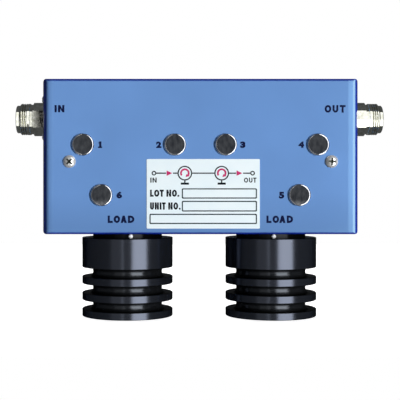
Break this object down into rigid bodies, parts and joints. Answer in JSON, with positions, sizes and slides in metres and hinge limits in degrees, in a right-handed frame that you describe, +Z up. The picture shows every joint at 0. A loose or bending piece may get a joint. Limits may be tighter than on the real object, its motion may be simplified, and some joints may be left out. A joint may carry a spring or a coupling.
{
  "type": "dual junction isolator",
  "caption": "Blue box-shaped coaxial isolator with nickel ports on its sides, plugged tuning holes in its front and black finned terminations below.",
  "frame": {"origin": "middle of the whole object's underside: the level that both terminations stand on, midway between the port tips and midway in depth", "axes": "+Z up, +X to the right seen from the front, towards the OUT port, -Y towards the viewer: the front with the tuning plugs faces -Y"},
  "size_m": [0.1848, 0.0458, 0.118],
  "materials": {
    "blue_paint": "smooth semi-gloss enamel",
    "chromated_aluminium": "clear chromated sheet",
    "zinc_steel": "bright zinc plate",
    "white_label": "printed white film",
    "nickel": "bright nickel plate",
    "white_insulator": "turned fluoropolymer",
    "gold_plate": "gold plate",
    "black_anodised": "satin black anodised, fine turning lines",
    "ceramic": "unglazed ceramic",
    "magnet": "ground, dull grey",
    "ferrite": "ground, dull dark grey",
    "copper": "plain sheet copper",
    "brass": "plain brass",
    "yoke_steel": "plain steel strip"
  },
  "bodies": {
    "isolator": {"housing": "blue_paint", "back_cover": "chromated_aluminium", "back_cover_screws": "zinc_steel", "mounting_nuts": "zinc_steel", "rating_label": "white_label", "tuning_plug_1": "nickel", "tuning_plug_2": "nickel", "tuning_plug_3": "nickel", "tuning_plug_4": "nickel", "tuning_plug_5": "nickel", "tuning_plug_6": "nickel", "front_screws": "nickel", "standoffs": "zinc_steel", "carrier_plate": "chromated_aluminium", "carrier_screws": "zinc_steel", "in_jack_shell": "nickel", "out_jack_shell": "nickel", "left_load_jack_shell": "nickel", "right_load_jack_shell": "nickel", "jack_insulators": "white_insulator", "jack_contacts": "gold_plate", "jack_flange_screws": "zinc_steel", "load_jack_screws": "zinc_steel", "left_heat_sink": "black_anodised", "right_heat_sink": "black_anodised", "load_outer_contacts": "zinc_steel", "load_pins": "gold_plate", "load_beads": "white_insulator", "load_resistors": "ceramic", "load_lock_screws": "nickel", "left_magnets": "magnet", "right_magnets": "magnet", "left_ferrites": "ferrite", "right_ferrites": "ferrite", "left_center_conductor": "copper", "right_center_conductor": "copper", "left_ground_plate": "brass", "right_ground_plate": "brass", "left_yoke": "yoke_steel", "right_yoke": "yoke_steel", "ground_plate_spacers": "zinc_steel", "ground_plate_screws": "zinc_steel", "in_strap": "copper", "out_strap": "copper", "interstage_strap": "copper", "left_load_strap": "copper", "right_load_strap": "copper", "trimmer_bases": "ceramic", "trimmer_stators": "brass", "trimmer_nuts": "zinc_steel"},
    "tuning_rotor_1": {"trimmer_rotor_1": "brass"},
    "tuning_rotor_2": {"trimmer_rotor_2": "brass"},
    "tuning_rotor_3": {"trimmer_rotor_3": "brass"},
    "tuning_rotor_4": {"trimmer_rotor_4": "brass"},
    "tuning_rotor_5": {"trimmer_rotor_5": "brass"},
    "tuning_rotor_6": {"trimmer_rotor_6": "brass"}
  },
  "joints": [
    {"name": "tuning_1", "type": "hinge", "parent": "isolator", "child": "tuning_rotor_1", "pos_m": [-0.05755, 0, 0.0857], "axis": [0, -1, 0], "continuous": true},
    {"name": "tuning_2", "type": "hinge", "parent": "isolator", "child": "tuning_rotor_2", "pos_m": [-0.01245, 0, 0.0857], "axis": [0, -1, 0], "continuous": true},
    {"name": "tuning_3", "type": "hinge", "parent": "isolator", "child": "tuning_rotor_3", "pos_m": [0.01245, 0, 0.0857], "axis": [0, -1, 0], "continuous": true},
    {"name": "tuning_4", "type": "hinge", "parent": "isolator", "child": "tuning_rotor_4", "pos_m": [0.05755, 0, 0.0857], "axis": [0, -1, 0], "continuous": true},
    {"name": "tuning_5", "type": "hinge", "parent": "isolator", "child": "tuning_rotor_5", "pos_m": [0.04845, 0, 0.061], "axis": [0, -1, 0], "continuous": true},
    {"name": "tuning_6", "type": "hinge", "parent": "isolator", "child": "tuning_rotor_6", "pos_m": [-0.04845, 0, 0.061], "axis": [0, -1, 0], "continuous": true}
  ]
}
